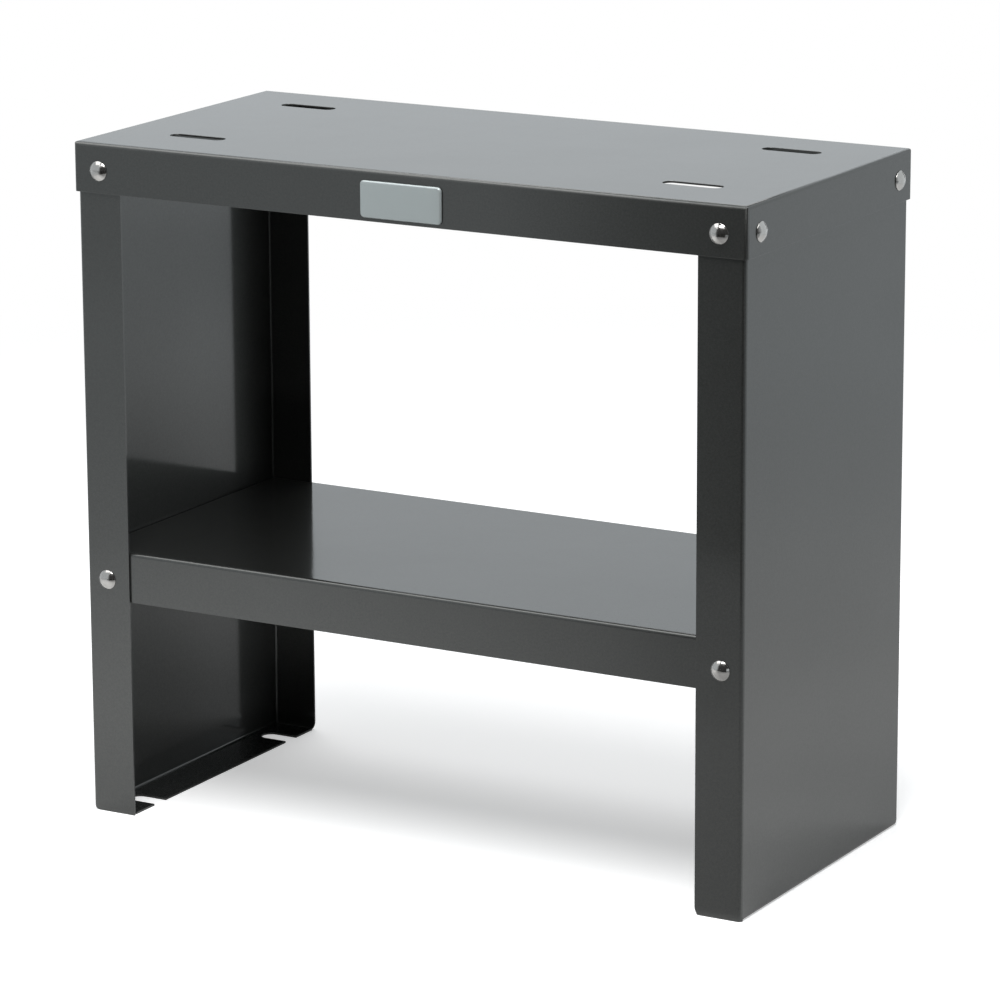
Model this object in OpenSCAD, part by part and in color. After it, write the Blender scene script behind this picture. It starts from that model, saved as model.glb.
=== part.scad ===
// Slip roll stand: a bench-height frame of folded sheet steel that bolts together.
// Two end panels carry a slotted top panel and a storage shelf between them.
// Millimetres. X runs along the stand, Y from front to back, Z up.
// The origin is on the floor, under the middle of the stand.

/* [Overall size] */
// Length of the top panel, end to end
stand_length = 750; // [600:5:900]
// Depth of the top panel, front to back
stand_depth = 357; // [320:1:450]
// Height of the top face above the floor
stand_height = 694.5; // [550:0.5:850]

/* [Sheet steel] */
// Thickness of the sheet that all four panels are folded from
sheet_t = 2; // [1.5:0.1:2.4]
// Inside radius of every bend
bend_inner_r = 2.2; // [1:0.1:3]

/* [Top panel] */
// Height of the lip folded down round the top panel
top_lip_h = 50.5; // [46:0.5:60]
// Length of each machine mounting slot, end to end
slot_l = 63; // [30:1:80]
// Width of each machine mounting slot
slot_w = 16; // [9:0.5:20]
// Distance between slot centres along the stand
slot_pitch_x = 556; // [400:1:570]
// Distance between slot centres from front to back
slot_pitch_y = 209; // [150:1:240]
// Distance that the slots' middle lies behind the stand's middle
slot_shift = 3.5; // [-10:0.5:10]

/* [End panels] */
// Width of the flanges folded inwards at the front and back of an end panel
flange_w = 50; // [42:0.5:60]
// Width of the foot folded inwards under an end panel
foot_w = 49; // [40:0.5:60]
// Distance that the foot's flat part stops short of the panel's front and back faces
foot_relief = 5.5; // [5:0.1:10]
// Radius of the bottom corner at the front of the left panel and the back of the right one
heel_r = 8; // [4:0.5:12]
// Width of the long curve on the other flange's bottom inner corner
toe_w = 3.4; // [1:0.1:6]
// Height of the long curve on the other flange's bottom inner corner
toe_h = 9; // [7:0.5:14]
// Gap between an end panel and the inside of the top panel's lip
panel_fit = 0.8; // [0.3:0.05:1]
// Gap between an end panel's top edge and the top panel above it
panel_top_gap = 0.2; // [0.1:0.05:0.8]

/* [Floor anchor notches] */
// Width of each open notch in the feet
notch_w = 21; // [10:0.5:24]
// Depth of each notch from the foot's inner edge
notch_depth = 35.5; // [20:0.5:40]
// Distance between the two notches of one foot
notch_pitch = 254; // [180:1:290]

/* [Shelf] */
// Height of the shelf's top face above the floor
shelf_z = 277; // [150:0.5:450]
// Height of the lip folded down round the shelf
shelf_lip_h = 52; // [46:0.5:60]
// Gap between the shelf's lip and the end panels
shelf_fit = 0.2; // [0.1:0.05:0.4]

/* [Fasteners] */
// Thread diameter of the carriage bolts
bolt_d = 8; // [6:0.5:9]
// Bolt length under the head
bolt_l = 20; // [18:0.5:24]
// Diameter of the domed bolt head
head_d = 20; // [16:0.5:22]
// Height of the domed bolt head
head_h = 4.8; // [3:0.1:6]
// Length of the square neck under the head
neck_l = 3.6; // [2:0.1:3.6]
// Clearance on each side of the square neck in its hole
neck_clear = 0.3; // [0.15:0.05:0.6]
// Outside diameter of the flat washers
washer_d = 16; // [13:0.5:18]
// Thickness of the flat washers
washer_t = 1.6; // [1:0.1:2]
// Outside diameter of the split lock washers
lock_d = 14.8; // [12:0.1:16]
// Thickness of the split lock washers
lock_t = 2; // [1.5:0.1:2.5]
// Width of the split in a lock washer
lock_split = 1.2; // [0.6:0.1:2]
// Radial clearance of the washers on the bolt
washer_clear = 0.2; // [0.1:0.05:0.4]
// Width across the flats of the hex nuts
nut_af = 13; // [12:0.5:15]
// Height of the hex nuts
nut_h = 6.5; // [5:0.1:7]
// Radial clearance that stands for the thread between bolt and nut
thread_clear = 0.05; // [0.02:0.01:0.1]
// Distance from the top panel's ends to the upper bolts in its front and back
bolt_inset = 29.5; // [24:0.5:32]
// Distance from the top panel's front and back to the bolts in its ends
side_bolt_inset = 28; // [24:0.5:32]
// Distance from the top panel's ends to the lower bolts, which hold the shelf
shelf_bolt_inset = 26.5; // [24:0.5:32]
// Distance from the top face down to the upper bolts
bolt_drop = 28; // [20:0.5:32]
// Distance from the shelf's top face down to its bolts
shelf_bolt_drop = 30.5; // [20:0.5:34]

/* [Nameplate] */
// Width of the blank nameplate
plate_w = 90.5; // [60:0.5:120]
// Height of the blank nameplate
plate_h = 36.5; // [20:0.5:40]
// Thickness of the blank nameplate
plate_t = 2.4; // [1.5:0.1:3]
// Corner radius of the blank nameplate
plate_corner_r = 4.5; // [3:0.5:8]
// Radius that rounds the plate's front edge
plate_edge_r = 1.6; // [0.6:0.1:2]
// Distance that the plate's centre lies right of the stand's middle
plate_shift = 4; // [-40:0.5:40]
// Distance from the top face down to the plate's centre
plate_drop = 28.5; // [24:0.5:32]
// Thickness of the adhesive pad behind the plate
pad_t = 0.6; // [0.4:0.1:1]
// Distance that the pad stays inside the plate's outline
pad_inset = 2; // [1:0.5:4]

/* [Hidden] */
$fn = 64;
cut = 1; // how far a cutting shape runs past the face that it opens

bend_outer_r = bend_inner_r + sheet_t;
panel_x = stand_length / 2 - sheet_t - panel_fit; // outer face of an end panel's web
panel_y = stand_depth / 2 - sheet_t - panel_fit; // outer faces of an end panel's flanges
// How far the top panel's inside bend stands down into the space over an end panel's face
bend_reach = bend_inner_r - sqrt(pow(bend_inner_r, 2) - pow(max(bend_inner_r - panel_fit, 0), 2));
panel_h = stand_height - sheet_t - bend_reach - panel_top_gap;
shelf_l = 2 * (panel_x - sheet_t - shelf_fit);
shelf_d = 2 * (panel_y - sheet_t - shelf_fit);
fold_h = 2 * bend_outer_r; // height of the web's lowest strip, which is built with the foot
fold_end = panel_y - bend_outer_r; // where the foot's bend stops, at each flange's own bend
toe_r = (pow(toe_w, 2) + pow(toe_h, 2)) / (2 * toe_w);

top_bolt_x = stand_length / 2 - bolt_inset;
shelf_bolt_x = stand_length / 2 - shelf_bolt_inset;
bolt_y = stand_depth / 2 - side_bolt_inset;
top_bolt_z = stand_height - bolt_drop;
shelf_bolt_z = shelf_z - shelf_bolt_drop;
neck_hole = bolt_d + 2 * neck_clear;
top_grip = 2 * sheet_t + panel_fit; // both sheets and the gap between them
shelf_grip = 2 * sheet_t + shelf_fit;
tip_chamfer = bolt_d / 8;
head_rim_h = head_h / 8; // straight edge under the dome
dome_h = head_h - head_rim_h;
dome_r = (pow(head_d / 2, 2) + pow(dome_h, 2)) / (2 * dome_h);
nut_chamfer_d = 0.95 * nut_af; // flat ring left on each end of a nut
nut_corner_d = nut_af / cos(30);
plate_flat_w = plate_w - 2 * plate_corner_r; // between the centres of the plate's corners
plate_flat_h = plate_h - 2 * plate_corner_r;
pad_corner_r = plate_corner_r - pad_inset / 2;

steel_paint = [0.27, 0.28, 0.28];
bright_plating = [0.78, 0.77, 0.75];
zinc_plating = [0.62, 0.63, 0.62];
satin_silver = [0.66, 0.69, 0.69];
pad_foam = [0.12, 0.12, 0.12];

// A rectangle round the origin with four rounded corners
module rounded_rect(l, w, r) {
    square([l - 2 * r, w], center = true);
    square([l, w - 2 * r], center = true);
    for (sx = [-1, 1], sy = [-1, 1])
        translate([sx * (l / 2 - r), sy * (w / 2 - r)])
            circle(r);
}

// A side view of a block under the X axis, with its two upper corners rounded
module crowned_rect(l, h, r) {
    intersection() {
        translate([0, -h])
            rounded_rect(l, 2 * h, r);
        translate([-l / 2, -h])
            square([l, h]);
    }
}

// A block under z = 0 whose top edges and upright corners are bends
module folded_block(l, d, h, r) {
    intersection() {
        translate([0, 0, -h])
            linear_extrude(h)
                rounded_rect(l, d, r);
        rotate([90, 0, 0])
            linear_extrude(d + 2 * cut, center = true)
                crowned_rect(l, h, r);
        rotate([90, 0, 90])
            linear_extrude(l + 2 * cut, center = true)
                crowned_rect(d, h, r);
    }
}

// A sheet at z = 0 with a lip folded down on all four sides
module folded_pan(l, d, lip_h) {
    difference() {
        folded_block(l, d, lip_h, bend_outer_r);
        translate([0, 0, -sheet_t])
            folded_block(l - 2 * sheet_t, d - 2 * sheet_t, lip_h - sheet_t + cut, bend_inner_r);
    }
}

// The two bolt stations of a row on each side, with +Z pointing out of the outer sheet
module at_front(x, y, z) {
    for (sx = [-1, 1])
        translate([sx * x, -y, z])
            rotate([90, 0, 0])
                children();
}

module at_rear(x, y, z) {
    rotate([0, 0, 180])
        at_front(x, y, z)
            children();
}

module at_left(x, z) {
    for (sy = [-1, 1])
        translate([-x, sy * bolt_y, z])
            rotate([0, -90, 0])
                children();
}

module at_right(x, z) {
    rotate([0, 0, 180])
        at_left(x, z)
            children();
}

module neck_punch() {
    cube([neck_hole, neck_hole, 2 * (top_grip + cut)], center = true);
}

module machine_slot() {
    straight_l = slot_l - slot_w;
    linear_extrude(2 * (sheet_t + cut), center = true) {
        square([straight_l, slot_w], center = true);
        for (sx = [-1, 1])
            translate([sx * straight_l / 2, 0])
                circle(d = slot_w);
    }
}

module top_panel() {
    color(steel_paint)
        difference() {
            translate([0, 0, stand_height])
                folded_pan(stand_length, stand_depth, top_lip_h);
            for (sx = [-1, 1], sy = [-1, 1])
                translate([sx * slot_pitch_x / 2, slot_shift + sy * slot_pitch_y / 2, stand_height])
                    machine_slot();
            at_front(top_bolt_x, stand_depth / 2, top_bolt_z) neck_punch();
            at_rear(top_bolt_x, stand_depth / 2, top_bolt_z) neck_punch();
            at_left(stand_length / 2, top_bolt_z) neck_punch();
            at_right(stand_length / 2, top_bolt_z) neck_punch();
        }
}

// Plan of an end panel: the web with a flange folded inwards at each end
module channel_plan() {
    translate([-panel_x + flange_w, 0])
        difference() {
            rounded_rect(2 * flange_w, 2 * panel_y, bend_outer_r);
            rounded_rect(2 * (flange_w - sheet_t), 2 * (panel_y - sheet_t), bend_inner_r);
            translate([0, -panel_y - cut])
                square([flange_w + cut, 2 * (panel_y + cut)]);
        }
}

// Front view of the foot: the lowest strip of the web, the bend and the flat part
module foot_side() {
    translate([-panel_x + foot_w, fold_h])
        difference() {
            rounded_rect(2 * foot_w, 2 * fold_h, bend_outer_r);
            rounded_rect(2 * (foot_w - sheet_t), 2 * (fold_h - sheet_t), bend_inner_r);
            translate([0, -fold_h - cut])
                square([foot_w + cut, 2 * (fold_h + cut)]);
            translate([-foot_w - cut, 0])
                square([foot_w + 2 * cut, fold_h + cut]);
        }
}

// The flat part is cut back at both ends so that it can be folded past the flanges
module foot() {
    difference() {
        rotate([90, 0, 0])
            linear_extrude(2 * fold_end, center = true)
                foot_side();
        for (sy = [-1, 1])
            translate([-panel_x + bend_outer_r, sy * panel_y - foot_relief, -cut])
                cube([foot_w, 2 * foot_relief, sheet_t + 2 * cut]);
    }
}

module anchor_notch() {
    reach = notch_depth - notch_w / 2;
    translate([-panel_x + foot_w - reach, 0, -cut])
        linear_extrude(sheet_t + 2 * cut) {
            circle(d = notch_w);
            translate([0, -notch_w / 2])
                square([reach + cut, notch_w]);
        }
}

// What a corner of radius r loses: a square beside the origin less a round
module corner_waste(r) {
    difference() {
        translate([-cut, -cut])
            square([r + cut, r + cut]);
        translate([r, r])
            circle(r);
    }
}

// The rounded bottom corner where the front flange meets the web
module heel_cut() {
    translate([-panel_x, -panel_y + bend_outer_r, 0])
        rotate([90, 0, 0])
            linear_extrude(bend_outer_r + cut)
                corner_waste(heel_r);
    translate([-panel_x - cut, -panel_y, 0])
        rotate([90, 0, 90])
            linear_extrude(sheet_t + cut)
                corner_waste(heel_r);
}

// The long curve on the bottom inner corner of the rear flange
module toe_cut() {
    edge_x = -panel_x + flange_w;
    translate([edge_x, panel_y + cut, 0])
        rotate([90, 0, 0])
            linear_extrude(sheet_t + 2 * cut)
                difference() {
                    translate([-toe_w, -cut])
                        square([toe_w + cut, toe_h + cut]);
                    translate([-toe_r, toe_h])
                        circle(toe_r);
                }
}

module end_panel() {
    color(steel_paint)
        difference() {
            union() {
                difference() {
                    linear_extrude(panel_h)
                        channel_plan();
                    translate([-panel_x - cut, -fold_end, -cut])
                        cube([sheet_t + 2 * cut, 2 * fold_end, fold_h + cut]);
                }
                foot();
            }
            for (sy = [-1, 1])
                translate([0, sy * notch_pitch / 2, 0])
                    anchor_notch();
            heel_cut();
            toe_cut();
            at_front(top_bolt_x, panel_y, top_bolt_z) neck_punch();
            at_rear(top_bolt_x, panel_y, top_bolt_z) neck_punch();
            at_left(panel_x, top_bolt_z) neck_punch();
            at_front(shelf_bolt_x, panel_y, shelf_bolt_z) neck_punch();
            at_rear(shelf_bolt_x, panel_y, shelf_bolt_z) neck_punch();
        }
}

module left_end_panel() {
    end_panel();
}

// The right panel is the same part turned end for end
module right_end_panel() {
    rotate([0, 0, 180])
        end_panel();
}

module shelf() {
    color(steel_paint)
        difference() {
            translate([0, 0, shelf_z])
                folded_pan(shelf_l, shelf_d, shelf_lip_h);
            at_front(shelf_bolt_x, panel_y, shelf_bolt_z) neck_punch();
            at_rear(shelf_bolt_x, panel_y, shelf_bolt_z) neck_punch();
        }
}

module on_plate_seat() {
    translate([plate_shift, -stand_depth / 2, stand_height - plate_drop])
        rotate([90, 0, 0])
            children();
}

// A button whose front edge is a quarter round; four of them span the plate
module plate_corner() {
    rotate_extrude($fn = 32)
        intersection() {
            union() {
                square([plate_corner_r, plate_t - plate_edge_r]);
                square([plate_corner_r - plate_edge_r, plate_t]);
                translate([plate_corner_r - plate_edge_r, plate_t - plate_edge_r])
                    circle(plate_edge_r, $fn = 32);
            }
            square([plate_corner_r, plate_t]);
        }
}

module nameplate() {
    color(satin_silver)
        on_plate_seat()
            translate([0, 0, pad_t])
                hull()
                    for (sx = [-1, 1], sy = [-1, 1])
                        translate([sx * plate_flat_w / 2, sy * plate_flat_h / 2, 0])
                            plate_corner();
}

module nameplate_pad() {
    color(pad_foam)
        on_plate_seat()
            linear_extrude(pad_t)
                rounded_rect(plate_w - 2 * pad_inset, plate_h - 2 * pad_inset, pad_corner_r);
}

// A carriage bolt seated at z = 0, with its domed head above and its thread below
module carriage_bolt() {
    color(bright_plating) {
        intersection() {
            translate([0, 0, head_h - dome_r])
                sphere(dome_r);
            cylinder(d = head_d, h = head_h);
        }
        translate([-bolt_d / 2, -bolt_d / 2, -neck_l])
            cube([bolt_d, bolt_d, neck_l]);
        translate([0, 0, -bolt_l + tip_chamfer])
            cylinder(d = bolt_d, h = bolt_l - tip_chamfer);
        translate([0, 0, -bolt_l])
            cylinder(d1 = bolt_d - 2 * tip_chamfer, d2 = bolt_d, h = tip_chamfer);
    }
}

// Washers and nut, stacked on the inner sheet of a joint that is grip thick
module flat_washer(grip) {
    color(zinc_plating)
        translate([0, 0, -grip - washer_t])
            difference() {
                cylinder(d = washer_d, h = washer_t);
                translate([0, 0, -cut])
                    cylinder(d = bolt_d + 2 * washer_clear, h = washer_t + 2 * cut);
            }
}

module lock_washer(grip) {
    color(zinc_plating)
        translate([0, 0, -grip - washer_t - lock_t])
            difference() {
                cylinder(d = lock_d, h = lock_t);
                translate([0, 0, -cut])
                    cylinder(d = bolt_d + 2 * washer_clear, h = lock_t + 2 * cut);
                translate([0, -lock_split / 2, -cut])
                    cube([lock_d, lock_split, lock_t + 2 * cut]);
            }
}

module hex_nut(grip) {
    color(zinc_plating)
        translate([0, 0, -grip - washer_t - lock_t - nut_h])
            difference() {
                intersection() {
                    cylinder(d = nut_corner_d, h = nut_h, $fn = 6);
                    nut_cones();
                }
                translate([0, 0, -cut])
                    cylinder(d = bolt_d + 2 * thread_clear, h = nut_h + 2 * cut);
            }
}

// The two 30 degree chamfers of a nut, as a solid turned about its axis
module nut_cones() {
    chamfer_h = (nut_corner_d - nut_chamfer_d) / 2 * tan(30);
    rotate_extrude()
        polygon([
            [0, 0],
            [nut_chamfer_d / 2, 0],
            [nut_corner_d / 2, chamfer_h],
            [nut_corner_d / 2, nut_h - chamfer_h],
            [nut_chamfer_d / 2, nut_h],
            [0, nut_h]
        ]);
}

module front_top_bolts() at_front(top_bolt_x, stand_depth / 2, top_bolt_z) carriage_bolt();
module front_top_washers() at_front(top_bolt_x, stand_depth / 2, top_bolt_z) flat_washer(top_grip);
module front_top_lock_washers() at_front(top_bolt_x, stand_depth / 2, top_bolt_z) lock_washer(top_grip);
module front_top_nuts() at_front(top_bolt_x, stand_depth / 2, top_bolt_z) hex_nut(top_grip);

module rear_top_bolts() at_rear(top_bolt_x, stand_depth / 2, top_bolt_z) carriage_bolt();
module rear_top_washers() at_rear(top_bolt_x, stand_depth / 2, top_bolt_z) flat_washer(top_grip);
module rear_top_lock_washers() at_rear(top_bolt_x, stand_depth / 2, top_bolt_z) lock_washer(top_grip);
module rear_top_nuts() at_rear(top_bolt_x, stand_depth / 2, top_bolt_z) hex_nut(top_grip);

module left_top_bolts() at_left(stand_length / 2, top_bolt_z) carriage_bolt();
module left_top_washers() at_left(stand_length / 2, top_bolt_z) flat_washer(top_grip);
module left_top_lock_washers() at_left(stand_length / 2, top_bolt_z) lock_washer(top_grip);
module left_top_nuts() at_left(stand_length / 2, top_bolt_z) hex_nut(top_grip);

module right_top_bolts() at_right(stand_length / 2, top_bolt_z) carriage_bolt();
module right_top_washers() at_right(stand_length / 2, top_bolt_z) flat_washer(top_grip);
module right_top_lock_washers() at_right(stand_length / 2, top_bolt_z) lock_washer(top_grip);
module right_top_nuts() at_right(stand_length / 2, top_bolt_z) hex_nut(top_grip);

module front_shelf_bolts() at_front(shelf_bolt_x, panel_y, shelf_bolt_z) carriage_bolt();
module front_shelf_washers() at_front(shelf_bolt_x, panel_y, shelf_bolt_z) flat_washer(shelf_grip);
module front_shelf_lock_washers() at_front(shelf_bolt_x, panel_y, shelf_bolt_z) lock_washer(shelf_grip);
module front_shelf_nuts() at_front(shelf_bolt_x, panel_y, shelf_bolt_z) hex_nut(shelf_grip);

module rear_shelf_bolts() at_rear(shelf_bolt_x, panel_y, shelf_bolt_z) carriage_bolt();
module rear_shelf_washers() at_rear(shelf_bolt_x, panel_y, shelf_bolt_z) flat_washer(shelf_grip);
module rear_shelf_lock_washers() at_rear(shelf_bolt_x, panel_y, shelf_bolt_z) lock_washer(shelf_grip);
module rear_shelf_nuts() at_rear(shelf_bolt_x, panel_y, shelf_bolt_z) hex_nut(shelf_grip);

top_panel();
left_end_panel();
right_end_panel();
shelf();
nameplate();
nameplate_pad();
front_top_bolts();
front_top_washers();
front_top_lock_washers();
front_top_nuts();
rear_top_bolts();
rear_top_washers();
rear_top_lock_washers();
rear_top_nuts();
left_top_bolts();
left_top_washers();
left_top_lock_washers();
left_top_nuts();
right_top_bolts();
right_top_washers();
right_top_lock_washers();
right_top_nuts();
front_shelf_bolts();
front_shelf_washers();
front_shelf_lock_washers();
front_shelf_nuts();
rear_shelf_bolts();
rear_shelf_washers();
rear_shelf_lock_washers();
rear_shelf_nuts();
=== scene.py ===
from math import cos, pi, radians, sin, sqrt, tau

import bmesh
import bpy
from mathutils import Matrix, Vector


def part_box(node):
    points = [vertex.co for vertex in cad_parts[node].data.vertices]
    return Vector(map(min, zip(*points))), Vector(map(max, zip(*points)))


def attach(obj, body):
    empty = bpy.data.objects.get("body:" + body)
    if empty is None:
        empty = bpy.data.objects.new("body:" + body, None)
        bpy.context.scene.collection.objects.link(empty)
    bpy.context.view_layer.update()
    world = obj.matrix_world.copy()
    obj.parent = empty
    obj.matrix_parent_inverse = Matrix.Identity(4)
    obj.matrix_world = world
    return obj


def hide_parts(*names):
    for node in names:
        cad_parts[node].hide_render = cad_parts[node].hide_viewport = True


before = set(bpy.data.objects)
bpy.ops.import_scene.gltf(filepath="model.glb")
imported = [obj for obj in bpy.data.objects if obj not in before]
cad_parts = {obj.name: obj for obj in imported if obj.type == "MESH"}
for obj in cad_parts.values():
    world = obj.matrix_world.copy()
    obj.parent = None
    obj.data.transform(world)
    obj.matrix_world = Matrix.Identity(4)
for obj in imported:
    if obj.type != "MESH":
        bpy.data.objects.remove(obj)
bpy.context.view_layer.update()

# Lengths are metres. X runs along the stand, Y from front to back, Z up.
MM = 0.001


# Camera: a long lens, to the right of the front and a little above the stand

CAMERA_AT = (2.3680, -4.1326, 1.5207)
CAMERA_TURN = radians(29.715)
CAMERA_DIP = radians(14.005)
CAMERA_ROLL = radians(-0.257)
CAMERA_LENS = 175.893
SENSOR_WIDTH = 36.0


def add_camera():
    data = bpy.data.cameras.new("camera")
    data.sensor_width = SENSOR_WIDTH
    data.lens = CAMERA_LENS
    camera = bpy.data.objects.new("camera", data)
    bpy.context.scene.collection.objects.link(camera)
    camera.matrix_world = (
        Matrix.Translation(CAMERA_AT)
        @ Matrix.Rotation(CAMERA_TURN, 4, "Z")
        @ Matrix.Rotation(pi / 2 - CAMERA_DIP, 4, "X")
        @ Matrix.Rotation(CAMERA_ROLL, 4, "Z")
    )
    bpy.context.scene.camera = camera


# Helpers for node materials


def new_material(name):
    """A material with a Principled BSDF, and a function that adds a node to it."""
    material = bpy.data.materials.new(name)
    material.use_nodes = True
    return material, adder(material.node_tree), material.node_tree.nodes["Principled BSDF"]


def adder(tree):
    """Returns add(type, inputs, **settings), which makes a node and links or sets its inputs."""

    def add(kind, inputs=None, **settings):
        node = tree.nodes.new(kind)
        for key, value in settings.items():
            setattr(node, key, value)
        for key, value in (inputs or {}).items():
            feed(tree, node.inputs[key], value)
        return node

    return add


def feed(tree, socket, value):
    """Links an output to a socket, or sets the socket's own value."""
    if isinstance(value, bpy.types.NodeSocket):
        tree.links.new(value, socket)
    elif socket.type == "RGBA":
        socket.default_value = (*value[:3], 1.0)
    else:
        socket.default_value = value


def finish_shader(material, bsdf, **inputs):
    """Sets the shader's inputs. An underscore in a name stands for a space."""
    for key, value in inputs.items():
        feed(material.node_tree, bsdf.inputs[key.replace("_", " ")], value)
    return material


def object_coords(add):
    return add("ShaderNodeTexCoord").outputs["Object"]


def noise(add, coords, scale, detail=2.0, roughness=0.5):
    inputs = {"Vector": coords, "Scale": scale, "Detail": detail, "Roughness": roughness}
    return add("ShaderNodeTexNoise", inputs).outputs["Fac"]


def span(add, value, low, high, start=0.0, end=1.0, kind="LINEAR"):
    """Maps value from start..end to low..high, and holds it there outside them."""
    inputs = {"Value": value, "From Min": start, "From Max": end, "To Min": low, "To Max": high}
    return add("ShaderNodeMapRange", inputs, interpolation_type=kind).outputs["Result"]


def ramp(add, value, places, high=1.0, low=0.0):
    """Rises smoothly from low, where value is at the first place, to high at the second."""
    return span(add, value, low, high, *places, kind="SMOOTHSTEP")


def math_node(add, operation, first, second=0.0):
    return add("ShaderNodeMath", {0: first, 1: second}, operation=operation).outputs[0]


def times(add, first, second):
    return math_node(add, "MULTIPLY", first, second)


def plus(add, first, second):
    return math_node(add, "ADD", first, second)


def minus(add, first, second):
    return math_node(add, "SUBTRACT", first, second)


def dot(add, first, second):
    return add("ShaderNodeVectorMath", {0: first, 1: second}, operation="DOT_PRODUCT").outputs["Value"]


def distance_from_middle(add, coords):
    return add("ShaderNodeVectorMath", {0: coords}, operation="LENGTH").outputs["Value"]


def split_xyz(add, vector):
    return add("ShaderNodeSeparateXYZ", {"Vector": vector}).outputs


def blend_colours(add, factor, first, second):
    node = add("ShaderNodeMix", data_type="RGBA")
    tree = node.id_data
    feed(tree, node.inputs["Factor"], factor)
    colours = [socket for socket in node.inputs if socket.type == "RGBA"]
    feed(tree, colours[0], first)
    feed(tree, colours[1], second)
    return [socket for socket in node.outputs if socket.type == "RGBA"][0]


def bump(add, height, distance, below=None):
    inputs = {"Height": height, "Distance": distance, "Strength": 1.0}
    if below:
        inputs["Normal"] = below
    return add("ShaderNodeBump", inputs).outputs["Normal"]


# Materials

PAINT_DARK = (0.046, 0.048, 0.046)
PAINT_LIGHT = (0.067, 0.069, 0.066)
# The lighter colour along the sharp edges: thinner paint, and partly a painted edge highlight
EDGE_PAINT_AND_HIGHLIGHT = (0.112, 0.116, 0.114)
EDGE_REACH = 0.7 * MM
FLAKE_SHARE = 0.7
NICKEL_DARK = (0.375, 0.365, 0.35)
NICKEL_LIGHT = (0.475, 0.465, 0.45)
ZINC_DARK = (0.50, 0.52, 0.53)
ZINC_LIGHT = (0.66, 0.67, 0.67)
ZINC_STAIN = (0.60, 0.57, 0.48)
SILVER_DARK = (0.30, 0.335, 0.335)
SILVER_LIGHT = (0.38, 0.415, 0.415)
FOAM_DARK = (0.012, 0.012, 0.013)
FOAM_LIGHT = (0.035, 0.035, 0.036)


def panel_paint():
    """Charcoal metallic enamel on folded sheet: fine flake, a faint orange peel and slow waves."""
    material, add, bsdf = new_material("charcoal_enamel")
    coords = object_coords(add)
    flake = noise(add, coords, scale=1400.0, detail=3.0, roughness=0.7)
    cloud = noise(add, coords, scale=9.0, detail=3.0)
    mottle = noise(add, coords, scale=420.0, roughness=0.6)
    grain = plus(add, times(add, flake, FLAKE_SHARE), times(add, mottle, 1.0 - FLAKE_SHARE))
    tone = span(add, grain, 0.0, 1.0, start=0.38, end=0.62)
    body = blend_colours(add, tone, PAINT_DARK, PAINT_LIGHT)
    # Lighter colour along the sharp edges: partly thinner paint there, partly a painted edge highlight
    rounded = add("ShaderNodeBevel", {"Radius": EDGE_REACH}, samples=4).outputs["Normal"]
    facing = dot(add, rounded, add("ShaderNodeNewGeometry").outputs["Normal"])
    edge = span(add, facing, 0.45, 0.0, start=0.80, end=1.0)
    colour = blend_colours(add, edge, body, EDGE_PAINT_AND_HIGHLIGHT)
    peel = noise(add, coords, scale=260.0)
    wave = noise(add, coords, scale=5.0, detail=1.0)
    normal = bump(add, wave, distance=0.0006)
    normal = bump(add, peel, distance=0.000014, below=normal)
    normal = bump(add, flake, distance=0.000006, below=normal)
    return finish_shader(
        material,
        bsdf,
        Base_Color=colour,
        Metallic=0.82,
        Roughness=span(add, cloud, 0.30, 0.38),
        Specular_IOR_Level=0.1,
        Specular_Tint=(0.3, 0.3, 0.3),
        Coat_Weight=0.95,
        Coat_Roughness=0.09,
        Normal=normal,
        Coat_Normal=normal,
    )


def bolt_plating():
    """Bright nickel plating with a faint haze and fine handling marks."""
    material, add, bsdf = new_material("bright_nickel")
    coords = object_coords(add)
    haze = noise(add, coords, scale=240.0, detail=4.0)
    marks = noise(add, coords, scale=3000.0)
    return finish_shader(
        material,
        bsdf,
        Base_Color=blend_colours(add, haze, NICKEL_DARK, NICKEL_LIGHT),
        Metallic=1.0,
        Sheen_Weight=0.5,
        Sheen_Roughness=0.35,
        Roughness=span(add, haze, 0.08, 0.20),
        Normal=bump(add, marks, distance=0.000004),
    )


def zinc_plating():
    """Dull zinc with a crystalline bloom."""
    material, add, bsdf = new_material("zinc")
    coords = object_coords(add)
    bloom = add("ShaderNodeTexVoronoi", {"Vector": coords, "Scale": 900.0}).outputs["Color"]
    bloom = add("ShaderNodeSeparateColor", {"Color": bloom}).outputs["Red"]
    stain = noise(add, coords, scale=120.0, detail=4.0)
    colour = blend_colours(add, bloom, ZINC_DARK, ZINC_LIGHT)
    colour = blend_colours(add, span(add, stain, 0.0, 0.5, start=0.5, end=0.8), colour, ZINC_STAIN)
    return finish_shader(
        material,
        bsdf,
        Base_Color=colour,
        Metallic=1.0,
        Roughness=span(add, stain, 0.28, 0.46),
        Normal=bump(add, stain, distance=0.00002),
    )


def plate_silver():
    """Satin silver with a fine grain."""
    material, add, bsdf = new_material("satin_silver")
    coords = object_coords(add)
    grain = noise(add, coords, scale=2600.0, detail=3.0, roughness=0.6)
    cloud = noise(add, coords, scale=60.0)
    return finish_shader(
        material,
        bsdf,
        Base_Color=blend_colours(add, grain, SILVER_DARK, SILVER_LIGHT),
        Metallic=0.5,
        Roughness=span(add, cloud, 0.30, 0.42),
        Normal=bump(add, grain, distance=0.00001),
    )


def pad_foam():
    """Black closed-cell foam tape."""
    material, add, bsdf = new_material("foam_tape")
    coords = object_coords(add)
    cells = add("ShaderNodeTexVoronoi", {"Vector": coords, "Scale": 2500.0}).outputs["Distance"]
    return finish_shader(
        material,
        bsdf,
        Base_Color=blend_colours(add, cells, FOAM_DARK, FOAM_LIGHT),
        Roughness=0.9,
        Normal=bump(add, cells, distance=0.0001),
    )


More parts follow.
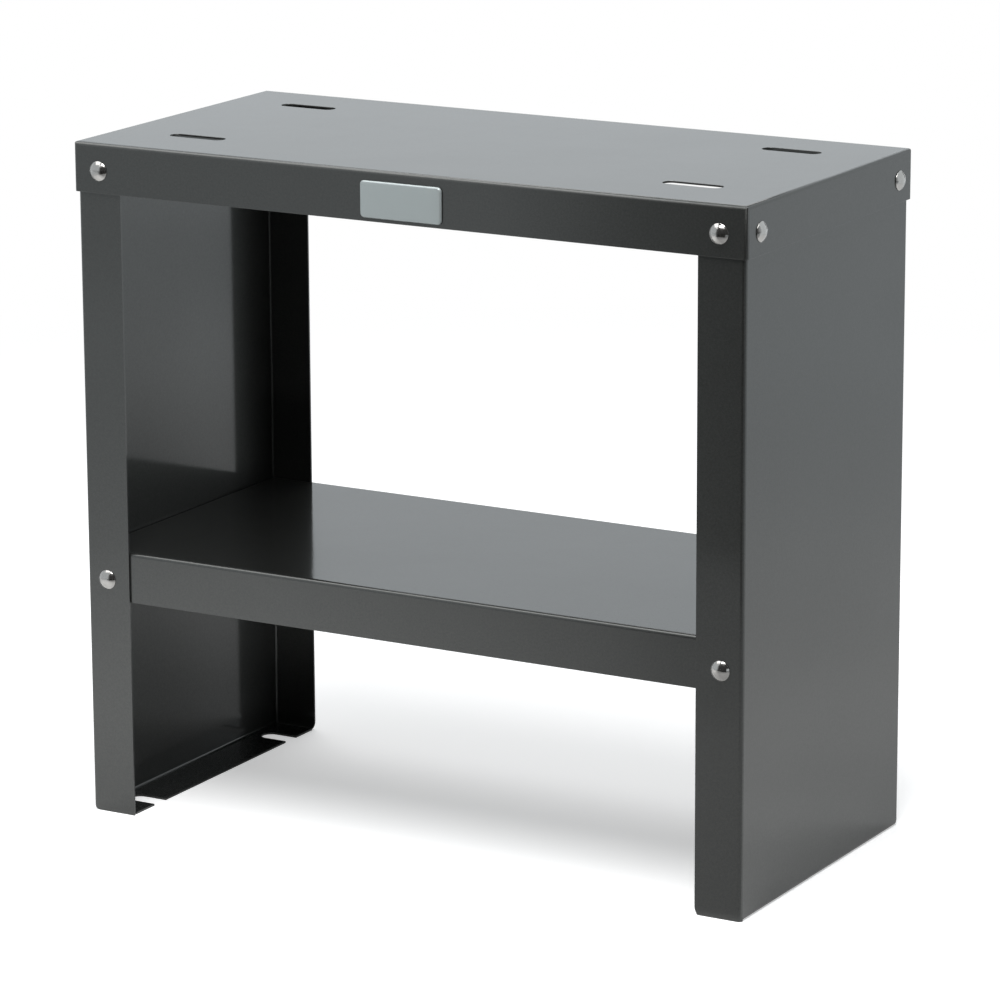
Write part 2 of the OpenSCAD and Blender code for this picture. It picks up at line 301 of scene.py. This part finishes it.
MATERIALS = {
    "panel_paint": panel_paint(),
    "bolt_plating": bolt_plating(),
    "zinc_plating": zinc_plating(),
    "plate_silver": plate_silver(),
    "pad_foam": pad_foam(),
}


# CAD nodes: soft cut edges and their materials

FOLDED_SHEETS = ("top_panel", "left_end_panel", "right_end_panel", "shelf")
SHEET_EDGE = 0.4 * MM
WASHER_EDGE = 0.15 * MM
WELD_REACH = 0.001 * MM
FLAT_WITHIN = radians(0.2)
CUT_EDGE_FROM = radians(50)


def clean_shading_group():
    """Geometry nodes that weld a CAD mesh and shade it smooth."""
    group = bpy.data.node_groups.new("welded_and_smooth", "GeometryNodeTree")
    group.interface.new_socket("Geometry", in_out="INPUT", socket_type="NodeSocketGeometry")
    group.interface.new_socket("Geometry", in_out="OUTPUT", socket_type="NodeSocketGeometry")
    add = adder(group)
    start = add("NodeGroupInput")
    plain = add("GeometryNodeRemoveAttribute", {"Geometry": start.outputs[0], "Name": "custom_normal"})
    welded = add("GeometryNodeMergeByDistance", {"Geometry": plain.outputs[0], "Distance": WELD_REACH})
    smooth = add("GeometryNodeSetShadeSmooth", {"Geometry": welded.outputs[0]})
    add("NodeGroupOutput", {0: smooth.outputs[0]})
    return group


WELDED_AND_SMOOTH = clean_shading_group()


def soften(node, edge):
    """Rounds the sharp edges of a CAD node with modifiers. The mesh itself stays as it is."""
    weld = node.modifiers.new("weld", "NODES")
    weld.node_group = WELDED_AND_SMOOTH
    flat = node.modifiers.new("flat faces", "DECIMATE")
    flat.decimate_type = "DISSOLVE"
    flat.angle_limit = FLAT_WITHIN
    bevel = node.modifiers.new("cut edges", "BEVEL")
    bevel.width = edge
    bevel.segments = 2
    bevel.limit_method = "ANGLE"
    bevel.angle_limit = CUT_EDGE_FROM
    shade = node.modifiers.new("shading", "WEIGHTED_NORMAL")
    shade.keep_sharp = False


def dress_cad_nodes():
    for name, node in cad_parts.items():
        for slot in node.material_slots:
            slot.material = MATERIALS[slot.material.name.split(".")[0]]
        if name in FOLDED_SHEETS:
            soften(node, SHEET_EDGE)
        elif name.endswith(("washers", "nuts")):
            soften(node, WASHER_EDGE)


dress_cad_nodes()


# Carriage bolts with domed heads, square necks and cut threads

BOLT_D = 8 * MM
BOLT_L = 20 * MM
TIP_L = 1 * MM
HEAD_D = 20 * MM
HEAD_H = 4.8 * MM
RIM_H = HEAD_H / 8
RIM_INSET = 0.1 * MM
SEAT_INSET = 0.2 * MM
DOME_RINGS = 12
DOME_SPACING = 0.8  # below 1, the rings crowd towards the rim
NECK_L = 3.6 * MM
NECK_CORNER_R = 0.9 * MM
NECK_FILLET = 0.15 * MM
NECK_END = 0.2 * MM
THREAD_PITCH = 1.25 * MM
THREAD_DEPTH = 0.6134 * THREAD_PITCH
ROOT_REACH = 0.125  # in pitches, from the middle of a groove to the end of its flat root
CREST_REACH = 0.375  # and to the start of the crest
ROUND_STEPS = 40
RINGS_PER_PITCH = 8
SMOOTH_BELOW = radians(40)


def circle_ring(radius, z):
    return [
        Vector((radius * cos(tau * i / ROUND_STEPS), radius * sin(tau * i / ROUND_STEPS), z))
        for i in range(ROUND_STEPS)
    ]


def square_ring(side, corner_r, z):
    """A rounded square whose points lie at the same angles as a circle's."""
    ring = []
    flat = side / 2 - corner_r
    for i in range(ROUND_STEPS):
        angle = tau * i / ROUND_STEPS
        x, y = abs(cos(angle)), abs(sin(angle))
        reach = side / 2 / max(x, y)
        if min(x, y) * reach > flat:
            along = flat * (x + y)
            reach = along + sqrt(along * along - 2 * flat * flat + corner_r * corner_r)
        ring.append(Vector((reach * cos(angle), reach * sin(angle), z)))
    return ring


def head_rings():
    """The domed head, from the middle of the dome down to its seat."""
    dome_h = HEAD_H - RIM_H
    dome_r = ((HEAD_D / 2) ** 2 + dome_h**2) / (2 * dome_h)
    rings = []
    for step in range(1, DOME_RINGS + 1):
        radius = (HEAD_D / 2 - RIM_INSET) * sin(step / DOME_RINGS * pi / 2) ** DOME_SPACING
        rings.append(circle_ring(radius, HEAD_H - dome_r + sqrt(dome_r**2 - radius**2)))
    for share in (0.75, 0.35):
        rings.append(circle_ring(HEAD_D / 2, RIM_H * share))
    rings.append(circle_ring(HEAD_D / 2 - SEAT_INSET, 0.0))
    return rings


def thread_ring(depth_below_head):
    """A ring across the thread: its radius follows the helix round the shank."""
    ring = []
    fade = min(1.0, max(0.0, (depth_below_head - NECK_L) / THREAD_PITCH))
    for i in range(ROUND_STEPS):
        turn = (depth_below_head / THREAD_PITCH + i / ROUND_STEPS) % 1.0
        groove = min(1.0, max(0.0, (CREST_REACH - abs(turn - 0.5)) / (CREST_REACH - ROOT_REACH)))
        radius = BOLT_D / 2 - groove * fade * THREAD_DEPTH
        angle = tau * i / ROUND_STEPS
        ring.append(Vector((radius * cos(angle), radius * sin(angle), -depth_below_head)))
    return ring


def shank_rings():
    """The square neck, then the thread with its chamfered tip."""
    rings = [
        square_ring(BOLT_D + 2 * NECK_FILLET, NECK_CORNER_R, 0.0),
        square_ring(BOLT_D, NECK_CORNER_R, -NECK_FILLET),
        square_ring(BOLT_D, NECK_CORNER_R, -NECK_L + NECK_END),
    ]
    count = round((BOLT_L - NECK_L) / THREAD_PITCH * RINGS_PER_PITCH)
    for step in range(count + 1):
        depth = NECK_L + (BOLT_L - NECK_L) * step / count
        ring = thread_ring(depth)
        limit = BOLT_D / 2 - max(0.0, depth - BOLT_L + TIP_L)
        for point in ring:
            reach = sqrt(point.x**2 + point.y**2)
            if reach > limit:
                point.x *= limit / reach
                point.y *= limit / reach
        rings.append(ring)
    return rings


def loft(bm, rings):
    """Skins closed rings with quads and closes both ends with a fan."""
    rows = [[bm.verts.new(point) for point in ring] for ring in rings]
    count = len(rows[0])
    for upper, lower in zip(rows, rows[1:]):
        for i in range(count):
            j = (i + 1) % count
            bm.faces.new((upper[i], lower[i], lower[j], upper[j]))
    for row, flip in ((rows[0], False), (rows[-1], True)):
        middle = bm.verts.new(sum((v.co for v in row), Vector()) / count)
        for i in range(count):
            a, b = row[i], row[(i + 1) % count]
            bm.faces.new((b, a, middle) if flip else (a, b, middle))


def add_object(name, bm, material):
    """Turns a bmesh into an object of the scene."""
    mesh = bpy.data.meshes.new(name)
    bm.to_mesh(mesh)
    bm.free()
    mesh.materials.append(material)
    thing = bpy.data.objects.new(name, mesh)
    bpy.context.scene.collection.objects.link(thing)
    return thing


def add_piece(name, bm, slot, replaced_node):
    """A piece of the stand that rides on its one body, in the place of a CAD node."""
    bmesh.ops.recalc_face_normals(bm, faces=bm.faces)
    for face in bm.faces:
        face.smooth = True
    for edge in bm.edges:
        edge.smooth = edge.calc_face_angle(0.0) < SMOOTH_BELOW
    piece = add_object(name, bm, MATERIALS[slot])
    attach(piece, "root")
    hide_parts(replaced_node)


def add_bolts(node):
    """Two bolts in the place of a CAD node: their heads' seats and directions come from its box."""
    lo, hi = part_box(node)
    spread = hi - lo
    along = max(range(2), key=lambda axis: spread[axis])
    across = 1 - along
    outward = Vector((0.0, 0.0, 0.0))
    outward[across] = 1.0 if (lo + hi)[across] > 0 else -1.0
    seat = (hi[across] if outward[across] > 0 else lo[across]) - HEAD_H * outward[across]
    bm = bmesh.new()
    for end in (lo[along] + HEAD_D / 2, hi[along] - HEAD_D / 2):
        single = bmesh.new()
        loft(single, head_rings() + shank_rings())
        place = Vector((0.0, 0.0, (lo.z + hi.z) / 2))
        place[along], place[across] = end, seat
        single.transform(Matrix.Translation(place) @ outward.to_track_quat("Z", "Y").to_matrix().to_4x4())
        mesh = bpy.data.meshes.new("one_bolt")
        single.to_mesh(mesh)
        single.free()
        bm.from_mesh(mesh)
        bpy.data.meshes.remove(mesh)
    add_piece("threaded_" + node, bm, "bolt_plating", node)


for node_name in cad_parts:
    if node_name.endswith("_bolts"):
        add_bolts(node_name)


# Blank nameplate with a pillow edge

PLATE_CORNER_R = 4.5 * MM
PLATE_EDGE_R = 2.0 * MM
PLATE_BACK_INSET = 0.6 * MM  # how much smaller the back is than the plate
PLATE_BACK_EASE = 0.25 * MM
PLATE_EDGE_FLOOR = 0.3 * MM  # the least height of the pillow edge over the back
PLATE_EDGE_DROP = 0.15 * MM  # how far the end of the pillow edge lies below the face's middle
PLATE_CROWN = ((4 * MM, 0.06 * MM), (9 * MM, 0.0))  # further insets and their drops
CORNER_STEPS = 8
EDGE_STEPS = 8


def plate_ring(width, height, corner_r, depth):
    """A rounded rectangle in the plate's own plane, at depth towards the front."""
    ring = []
    for quarter, (sx, sz) in enumerate(((1, 1), (-1, 1), (-1, -1), (1, -1))):
        for step in range(CORNER_STEPS + 1):
            angle = (quarter + step / CORNER_STEPS) * pi / 2
            x = sx * (width / 2 - corner_r) + corner_r * cos(angle)
            z = sz * (height / 2 - corner_r) + corner_r * sin(angle)
            ring.append(Vector((x, -depth, z)))
    return ring


def add_nameplate():
    lo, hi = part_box("nameplate")
    width, thick, height = hi - lo
    rings = [
        plate_ring(width - PLATE_BACK_INSET, height - PLATE_BACK_INSET, PLATE_CORNER_R, 0.0),
        plate_ring(width, height, PLATE_CORNER_R, PLATE_BACK_EASE),
    ]
    for step in range(EDGE_STEPS + 1):
        turn = step / EDGE_STEPS * pi / 2
        inset = PLATE_EDGE_R * (1 - cos(turn))
        depth = max(thick - PLATE_EDGE_DROP - PLATE_EDGE_R * (1 - sin(turn)), PLATE_EDGE_FLOOR)
        rings.append(plate_ring(width - 2 * inset, height - 2 * inset, PLATE_CORNER_R - inset, depth))
    for inset, drop in PLATE_CROWN:
        rings.append(plate_ring(width - 2 * inset, height - 2 * inset, PLATE_CORNER_R / 2, thick - drop))
    bm = bmesh.new()
    loft(bm, rings)
    bm.transform(Matrix.Translation(((lo.x + hi.x) / 2, hi.y, (lo.z + hi.z) / 2)))
    add_piece("pillow_nameplate", bm, "plate_silver", "nameplate")


add_nameplate()


# Studio: white surroundings and a pale floor

WHITE = (1.0, 1.0, 1.0)
AMBIENT = 0.34
FLOOR_DROP = 0.1 * MM
FLOOR_RADIUS = 12.0
FLOOR_DARK = (0.85, 0.85, 0.85)
FLOOR_LIGHT = (0.87, 0.87, 0.87)
FLOOR_GLOW = 0.45
FADE_START = 0.9
FADE_END = 2.6
REFLECTED_GLOW = 0.12
REFLECTED_COLOUR = (0.87, 0.92, 0.95)


def add_stage(name, bm, material):
    prop = add_object(name, bm, material)
    return prop


def seen_directly(add):
    """1 for rays from the camera and for mirror and glass rays, 0 for diffuse light."""
    path = add("ShaderNodeLightPath").outputs
    either = math_node(add, "MAXIMUM", path["Is Camera Ray"], path["Is Glossy Ray"])
    return math_node(add, "MAXIMUM", either, path["Is Transmission Ray"])


def surroundings_colour(add):
    """White to the camera and a cooler, slightly darker white in reflections."""
    return blend_colours(add, add("ShaderNodeLightPath").outputs["Is Camera Ray"], REFLECTED_COLOUR, WHITE)


def add_world():
    world = bpy.data.worlds.new("white_studio")
    bpy.context.scene.world = world
    world.use_nodes = True
    add = adder(world.node_tree)
    background = world.node_tree.nodes["Background"]
    feed(world.node_tree, background.inputs["Color"], surroundings_colour(add))
    feed(world.node_tree, background.inputs["Strength"], span(add, seen_directly(add), AMBIENT, 1.0))


# The paint mirrors the floor, and only reflections see it dimmer in places: painted shade on the floor,
# seen only in the paint's reflections. Each pair of places says where a dimming sets in and where it is
# full: ACROSS along an axis that runs from left to right in the mirrored picture, Y along the stand's own
# Y, and OUT as the distance from the stand's middle.

FRONT_AXIS = (0.868, -0.496, 0.0)
FRONT_Y = (-0.16, -0.20)
LEG_ACROSS = (-0.10, 0.42)  # seen in the legs and the shelf's lip
LEG_DIM = 0.55
LIP_END_ACROSS = (0.27, 0.38)
LIP_END_Y = (-0.68, -0.85)
LIP_END_DIM = 0.12
SKIRT_ACROSS = (0.15, 0.44)  # seen in the top panel's front lip
SKIRT_Y = (-1.3, -1.9)
SKIRT_DIM = 0.54
FOOT_ACROSS = (0.35, 0.10)
FOOT_Y = (-0.50, -0.25)
FOOT_DIM = 0.12
SKIRT_LEFT_ACROSS = (0.15, -0.10)
SKIRT_LEFT_Y = (-2.2, -2.7)
SKIRT_LEFT_DIM = 0.22

REAR_AXIS = (0.832, -0.555, 0.0)
REAR_Y = (-0.16, -0.10)
LEFT_WEB_ACROSS = (-0.16, -0.22)
LEFT_WEB_OUT = (3.1, 2.8)
UNDER_SHELF_OUT = (1.9, 1.2)
UNDER_SHELF_DIM = 0.34
UPPER_WEB_OUT = (1.95, 2.6)
UPPER_WEB_DIM = 0.20
COLUMN_ACROSS = (-0.36, -0.25)
COLUMN_DIM = 0.22
RIGHT_WEB_ACROSS = (0.02, 0.12)
RIGHT_WEB_OUT = (1.6, 0.95)
RIGHT_WEB_DIM = 0.15
RIGHT_FOOT_OUT = (0.62, 0.45)
RIGHT_FOOT_LIFT = 0.08


def front_painted_shade(add, coords):
    """Painted shade on the floor in front: how much less of the floor the front faces mirror."""
    across = dot(add, coords, FRONT_AXIS)
    y = split_xyz(add, coords)["Y"]
    legs = span(add, across, 0.0, LEG_DIM, *LEG_ACROSS)
    lip_end = times(add, ramp(add, across, LIP_END_ACROSS, LIP_END_DIM), ramp(add, y, LIP_END_Y))
    skirt = ramp(add, across, SKIRT_ACROSS, SKIRT_DIM)
    skirt_share = ramp(add, y, SKIRT_Y)
    legs = times(add, plus(add, legs, lip_end), minus(add, 1.0, skirt_share))
    rightwards = plus(add, times(add, skirt, skirt_share), legs)
    feet = times(add, ramp(add, y, FOOT_Y, FOOT_DIM), ramp(add, across, FOOT_ACROSS))
    skirt_left = ramp(add, across, SKIRT_LEFT_ACROSS)
    skirt_left = times(add, ramp(add, y, SKIRT_LEFT_Y, SKIRT_LEFT_DIM), skirt_left)
    dimming = plus(add, rightwards, plus(add, feet, skirt_left))
    return times(add, dimming, ramp(add, y, FRONT_Y))


def rear_painted_shade(add, coords):
    """Painted shade on the floor behind: how much less of the floor the two end panels' webs mirror."""
    across = dot(add, coords, REAR_AXIS)
    out = distance_from_middle(add, coords)
    upper = ramp(add, out, UPPER_WEB_OUT)
    column = times(add, ramp(add, across, COLUMN_ACROSS, COLUMN_DIM), minus(add, 1.0, upper))
    left = plus(add, column, times(add, upper, UPPER_WEB_DIM))
    left = plus(add, ramp(add, out, UNDER_SHELF_OUT, UNDER_SHELF_DIM), left)
    left = times(add, left, ramp(add, across, LEFT_WEB_ACROSS))
    left = times(add, left, ramp(add, out, LEFT_WEB_OUT))
    right = ramp(add, out, RIGHT_WEB_OUT, RIGHT_WEB_DIM)
    right = minus(add, right, ramp(add, out, RIGHT_FOOT_OUT, RIGHT_FOOT_LIFT))
    right = times(add, right, ramp(add, across, RIGHT_WEB_ACROSS))
    return times(add, plus(add, left, right), ramp(add, split_xyz(add, coords)["Y"], REAR_Y))


def floor_material():
    """Matt pale floor that takes the stand's shadow and turns plain white further out; reflections see
    painted shade on it in places.
    """
    material, add, bsdf = new_material("pale_floor")
    tree = material.node_tree
    coords = object_coords(add)
    grain = noise(add, coords, scale=40.0, detail=3.0)
    colour = blend_colours(add, grain, FLOOR_DARK, FLOOR_LIGHT)
    finish_shader(material, bsdf, Base_Color=colour, Roughness=0.95, Specular_IOR_Level=0.0)
    path = add("ShaderNodeLightPath").outputs
    strength = span(add, path["Is Camera Ray"], REFLECTED_GLOW, FLOOR_GLOW)
    strength = times(add, strength, seen_directly(add))
    glow = add("ShaderNodeEmission", {"Color": WHITE, "Strength": strength}).outputs[0]
    near = add("ShaderNodeAddShader", {0: bsdf.outputs[0], 1: glow}).outputs[0]
    far = add("ShaderNodeEmission", {"Color": surroundings_colour(add), "Strength": 1.0}).outputs[0]
    faded = span(add, distance_from_middle(add, coords), 0.0, 1.0, FADE_START, FADE_END)
    faded = times(add, faded, seen_directly(add))
    mixed = add("ShaderNodeMixShader", {0: faded, 1: near, 2: far}).outputs[0]
    # Painted shade: reflection rays see the floor darker here
    dimming = plus(add, front_painted_shade(add, coords), rear_painted_shade(add, coords))
    dimming = times(add, dimming, path["Is Glossy Ray"])
    dark = add("ShaderNodeEmission", {"Strength": 0.0}).outputs[0]
    dimmed = add("ShaderNodeMixShader", {0: dimming, 1: mixed, 2: dark}).outputs[0]
    tree.links.new(dimmed, tree.nodes["Material Output"].inputs["Surface"])
    return material


def add_floor():
    bm = bmesh.new()
    bmesh.ops.create_circle(bm, cap_ends=True, segments=96, radius=FLOOR_RADIUS)
    floor = add_stage("floor", bm, floor_material())
    floor.location.z = -FLOOR_DROP


# Soft lamps, and the cards, sheets and strips that only reflections show: the black ones paint shade and
# the glowing ones paint highlights into reflections

# Black of the cards and sheets that paint shade into reflections
CARD_BLACK = (0.02, 0.018, 0.016)
CARD_STEP = 2  # degrees round the stand
# Glowing strips, no lamps, that paint highlights into reflections in the top's front bend and the bolt
# heads
BEND_STRIP = ((-0.63, -1.13, 1.45), (-0.28, -1.27, 1.28), (-0.28, -1.27, 1.50), (-0.63, -1.13, 1.68))
SIDE_STRIP = ((0.16, -1.28, 1.60), (0.88, -0.93, 1.32), (0.90, -0.91, 1.46), (0.18, -1.27, 1.78))


def add_lamp(name, at, target, size, watts):
    data = bpy.data.lights.new(name, "AREA")
    data.shape = "RECTANGLE"
    data.size, data.size_y = size
    data.energy = watts
    lamp = bpy.data.objects.new(name, data)
    lamp.location = at
    lamp.rotation_mode = "QUATERNION"
    lamp.rotation_quaternion = (Vector(target) - Vector(at)).to_track_quat("-Z", "Y")
    bpy.context.scene.collection.objects.link(lamp)


def add_reflected(name, bm, material):
    """A prop that only reflections show, a painted reflection: it neither lights the stand nor casts a
    shadow.
    """
    prop = add_stage(name, bm, material)
    prop.visible_camera = False
    prop.visible_diffuse = False
    prop.visible_shadow = False


def add_sheet(name, corners, material):
    bm = bmesh.new()
    bm.faces.new([bm.verts.new(corner) for corner in corners])
    add_reflected(name, bm, material)


def overhead(left, right, front, back, z):
    """The corners of a level sheet above the stand."""
    return ((left, front, z), (right, front, z), (right, back, z), (left, back, z))


# A black sheet that paints shade into reflections
def add_painted_shade_sheet(name, corners):
    material, _, bsdf = new_material(name + "_black")
    finish_shader(material, bsdf, Base_Color=CARD_BLACK, Roughness=1.0, Specular_IOR_Level=0.0)
    add_sheet(name, corners, material)


# A glowing sheet, no lamp, that paints a highlight into reflections
def add_painted_highlight_sheet(name, corners, strength):
    material, add, _ = new_material(name + "_glow")
    tree = material.node_tree
    glow = add("ShaderNodeEmission", {"Color": WHITE, "Strength": strength})
    tree.links.new(glow.outputs[0], tree.nodes["Material Output"].inputs["Surface"])
    add_sheet(name, corners, material)


def card_material(name, clear_to, solid_from, faint, cover):
    """Black shade painted into reflections, thinner towards one end: alpha goes from faint to cover
    between two angles.
    """
    material, add, bsdf = new_material(name + "_black")
    place = split_xyz(add, object_coords(add))
    angle = math_node(add, "ARCTAN2", place["X"], times(add, place["Y"], -1.0))
    return finish_shader(
        material,
        bsdf,
        Base_Color=CARD_BLACK,
        Roughness=1.0,
        Specular_IOR_Level=0.0,
        Alpha=ramp(add, angle, (radians(clear_to), radians(solid_from)), cover, faint),
    )


def add_painted_shade_card(name, radius, start, end, bottom, top, clear_to, solid_from, faint, cover=0.95):
    """A black card, curved round the stand, that paints shade into reflections. Angles are degrees from
    the front, to the right.
    """
    bm = bmesh.new()
    columns = []
    count = round(abs(end - start) / CARD_STEP)
    for step in range(count + 1):
        angle = radians(start + (end - start) * step / count)
        x, y = radius * sin(angle), -radius * cos(angle)
        columns.append([bm.verts.new((x, y, bottom)), bm.verts.new((x, y, top))])
    for left, right in zip(columns, columns[1:]):
        bm.faces.new((left[0], right[0], right[1], left[1]))
    add_reflected(name, bm, card_material(name, clear_to, solid_from, faint, cover))


def add_studio():
    add_camera()
    add_world()
    add_floor()
    add_lamp("overhead_box", at=(0.3, -0.9, 2.4), target=(0.1, 0.0, 0.3), size=(1.2, 1.8), watts=74.0)
    add_lamp("rear_box", at=(-0.7, 1.0, 2.3), target=(0.0, 0.0, 0.5), size=(1.2, 1.2), watts=17.0)
    # Painted reflections: glowing sheets and strips paint highlights, black cards and sheets paint shade
    left_panel = overhead(left=-2.3, right=-0.64, front=-1.9, back=0.3, z=2.4)
    add_painted_highlight_sheet("overhead_left_panel", left_panel, strength=3.0)
    add_painted_shade_card(
        "front_card", radius=1.4, start=-80, end=46, bottom=0.0, top=1.9,
        clear_to=-22.5, solid_from=-8, faint=0.15,
    )
    add_painted_shade_sheet("gap_sheet", overhead(left=-0.42, right=0.3, front=-1.9, back=-0.5, z=2.3))
    add_painted_shade_sheet("rear_sheet", overhead(left=-1.7, right=0.1, front=0.35, back=1.7, z=2.2))
    add_painted_highlight_sheet("bend_strip", BEND_STRIP, strength=2.0)
    add_painted_highlight_sheet("side_strip", SIDE_STRIP, strength=1.9)
    add_painted_shade_card(
        "right_card", radius=1.4, start=46, end=90, bottom=0.45, top=2.0,
        clear_to=92, solid_from=60, faint=0.3,
    )
    add_painted_shade_card(
        "rear_card", radius=1.6, start=152, end=178, bottom=0.5, top=1.05,
        clear_to=177, solid_from=160, faint=0.0, cover=0.97,
    )


add_studio()

bpy.context.scene.view_settings.view_transform = "Standard"
